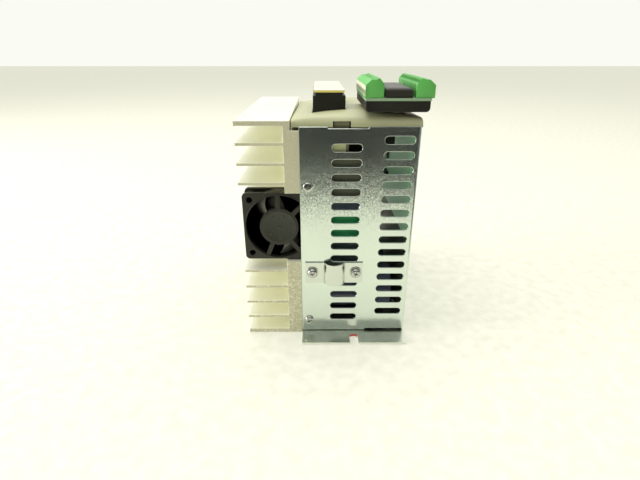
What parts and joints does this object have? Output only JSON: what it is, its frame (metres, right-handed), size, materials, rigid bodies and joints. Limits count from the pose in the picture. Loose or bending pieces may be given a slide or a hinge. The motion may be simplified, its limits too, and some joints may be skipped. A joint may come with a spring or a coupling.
{
  "type": "panel mount power supply",
  "caption": "Panel-mount power supply: vented zinc housing on a flanged chassis, side heatsink with axial fan, beige hood, pluggable power connector and plug-on terminal module.",
  "frame": {"origin": "centre of the housing's mounting face, which lies on the mounting panel", "axes": "+Z out of the mounting panel through the hood, +Y along the housing away from the shield clamp's end, heatsink and fan on -X"},
  "size_m": [0.1263, 0.181, 0.1869],
  "materials": {
    "zinc_sheet": "zinc-plated sheet steel with a fine spangle",
    "bright_zinc": "bright zinc plate",
    "screw_steel": "zinc-plated steel screws",
    "sink_aluminium": "plain extruded aluminium, sawn ends",
    "fan_black": "black glass-filled plastic",
    "fan_wheel": "black plastic",
    "magnet": "dark sintered magnet",
    "copper": "enamelled copper wire",
    "lead_red": "PVC insulation",
    "board_green": "green solder mask",
    "hood_beige": "beige moulded plastic, fine texture",
    "connector_black": "black moulded plastic",
    "strip_yellow": "pale yellow plastic strip",
    "terminal_green": "green polyamide",
    "contact_tin": "tinned contacts",
    "contact_gold": "gold-flashed pins",
    "sleeve_blue": "dark blue shrink sleeve",
    "ferrite": "dark ferrite",
    "core_green": "coated ring core",
    "tape_yellow": "yellow winding tape",
    "fuse_glass": "glass tube",
    "brass": "turned brass",
    "pad_grey": "grey thermal pad",
    "ribbon_grey": "grey flat cable"
  },
  "bodies": {
    "housing": {"chassis": "zinc_sheet", "vent_cover": "zinc_sheet", "cover_screws": "screw_steel", "heatsink": "sink_aluminium", "chassis_screws": "screw_steel", "shield_clamp": "bright_zinc", "clamp_washers": "screw_steel", "clamp_screws": "screw_steel", "clamp_nuts": "screw_steel", "fan_frame": "fan_black", "fan_screws": "screw_steel", "fan_bearings": "screw_steel", "fan_stator": "screw_steel", "fan_coils": "copper", "fan_board": "board_green", "fan_lead": "lead_red", "hood": "hood_beige", "inner_frame": "hood_beige", "frame_screws": "screw_steel", "power_header": "connector_black", "header_pins": "contact_tin", "front_connector": "connector_black", "front_connector_shell": "contact_tin", "jack_posts": "screw_steel", "power_board": "board_green", "board_standoffs": "brass", "board_screws": "screw_steel", "power_module": "connector_black", "thermal_pad": "pad_grey", "module_screws": "screw_steel", "bus_capacitors": "sleeve_blue", "transformer_core": "ferrite", "transformer_winding": "tape_yellow", "choke_core": "core_green", "choke_winding": "copper", "relay": "connector_black", "fuse": "fuse_glass", "fuse_clips": "contact_tin", "gate_board": "board_green", "control_board": "board_green", "control_chips": "connector_black", "ribbon_cable": "ribbon_grey", "ribbon_sockets": "connector_black", "insulating_liner": "connector_black"},
    "fan_wheel": {"fan_rotor": "fan_wheel", "fan_magnet": "magnet", "fan_shaft": "screw_steel"},
    "power_plug_unit": {"power_plug": "connector_black", "plug_screws": "screw_steel", "plug_cover": "strip_yellow"},
    "terminal_module": {"io_tray": "connector_black", "io_board": "board_green", "io_block_left": "terminal_green", "io_block_right": "terminal_green", "io_screws": "screw_steel", "io_clamps": "contact_tin", "io_connector_shell": "contact_tin", "io_connector_body": "connector_black", "io_pins": "contact_gold", "io_cap": "connector_black"}
  },
  "joints": [
    {"name": "fan_spin", "type": "hinge", "parent": "housing", "child": "fan_wheel", "pos_m": [-0.0547, -0.0723, 0.0882], "axis": [0, 1, 0], "continuous": true},
    {"name": "plug_pull", "type": "slide", "parent": "housing", "child": "power_plug_unit", "axis": [0, 0, 1], "range_m": [0, 0.014]},
    {"name": "module_pull", "type": "slide", "parent": "housing", "child": "terminal_module", "axis": [0, 0, 1], "range_m": [0, 0.014]}
  ]
}
